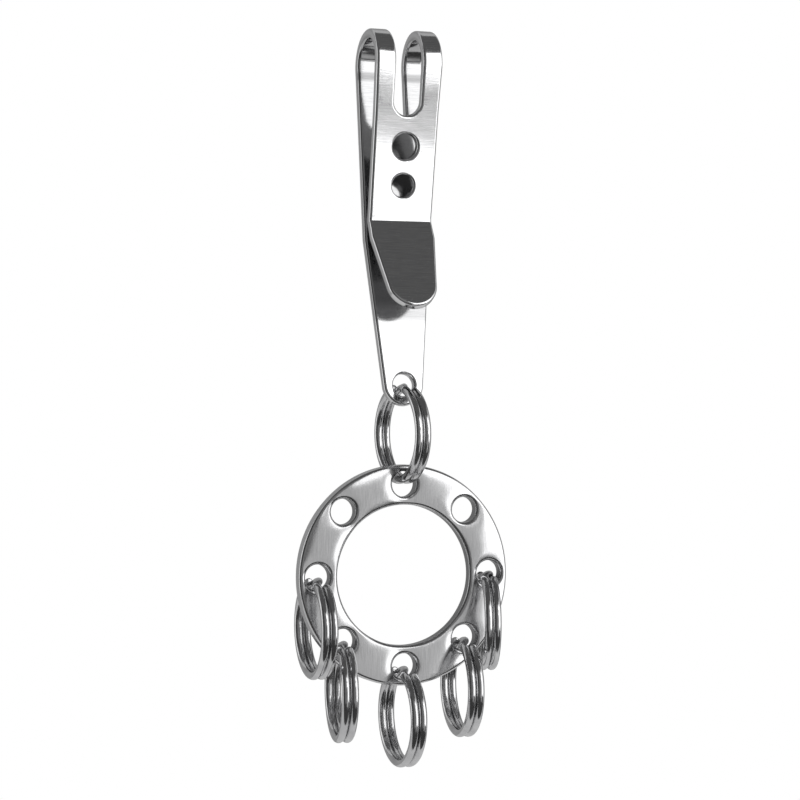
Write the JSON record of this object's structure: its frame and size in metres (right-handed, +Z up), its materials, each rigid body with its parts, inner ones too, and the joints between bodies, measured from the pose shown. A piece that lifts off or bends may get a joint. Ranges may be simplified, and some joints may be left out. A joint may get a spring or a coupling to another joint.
{
  "type": "belt key clip",
  "caption": "Bent spring-steel belt clip with a slotted double loop and a flared tongue, carrying a drilled ring plate with hanging split key rings.",
  "frame": {"origin": "The seat inside the top of the two loops, midway across the strip, where a belt or hem lies.", "axes": "+Z is up as the clip hangs, the front face with the tongue faces -Y, and +X is to the right of someone looking at the front."},
  "size_m": [0.0397, 0.0181, 0.1323],
  "materials": {
    "clip_steel": "polished",
    "plate_steel": "satin",
    "ring_steel": "polished"
  },
  "bodies": {
    "clip": {"suspension_clip": "clip_steel"},
    "link_ring": {"link_ring": "ring_steel"},
    "plate": {"ring_plate": "plate_steel"},
    "key_ring_right": {"key_ring_right": "ring_steel"},
    "key_ring_lower_right": {"key_ring_lower_right": "ring_steel"},
    "key_ring_bottom": {"key_ring_bottom": "ring_steel"},
    "key_ring_lower_left": {"key_ring_lower_left": "ring_steel"},
    "key_ring_left": {"key_ring_left": "ring_steel"}
  },
  "joints": [
    {"name": "link_ring_swing", "type": "hinge", "parent": "clip", "child": "link_ring", "pos_m": [0, -0.00187, -0.0621], "axis": [0, -0.9925, 0.1219], "range_deg": [-90, 90]},
    {"name": "plate_fold", "type": "hinge", "parent": "link_ring", "child": "plate", "pos_m": [0, -0.00187, -0.07077], "axis": [0.9945, 0.1045, 0], "range_deg": [-90, 90]},
    {"name": "key_ring_right_swing", "type": "hinge", "parent": "plate", "child": "key_ring_right", "pos_m": [0.0163, -0.00187, -0.09607], "axis": [0, -1, 0], "range_deg": [-2, 90]},
    {"name": "key_ring_lower_right_swing", "type": "hinge", "parent": "plate", "child": "key_ring_lower_right", "pos_m": [0.01153, -0.00187, -0.1076], "axis": [0, -1, 0], "range_deg": [-34, 11]},
    {"name": "key_ring_bottom_swing", "type": "hinge", "parent": "plate", "child": "key_ring_bottom", "pos_m": [0, -0.00187, -0.11237], "axis": [0, -1, 0], "range_deg": [-30, 30]},
    {"name": "key_ring_lower_left_swing", "type": "hinge", "parent": "plate", "child": "key_ring_lower_left", "pos_m": [-0.01153, -0.00187, -0.1076], "axis": [0, -1, 0], "range_deg": [-11, 32]},
    {"name": "key_ring_left_swing", "type": "hinge", "parent": "plate", "child": "key_ring_left", "pos_m": [-0.0163, -0.00187, -0.09607], "axis": [0, -1, 0], "range_deg": [-90, 2]}
  ]
}
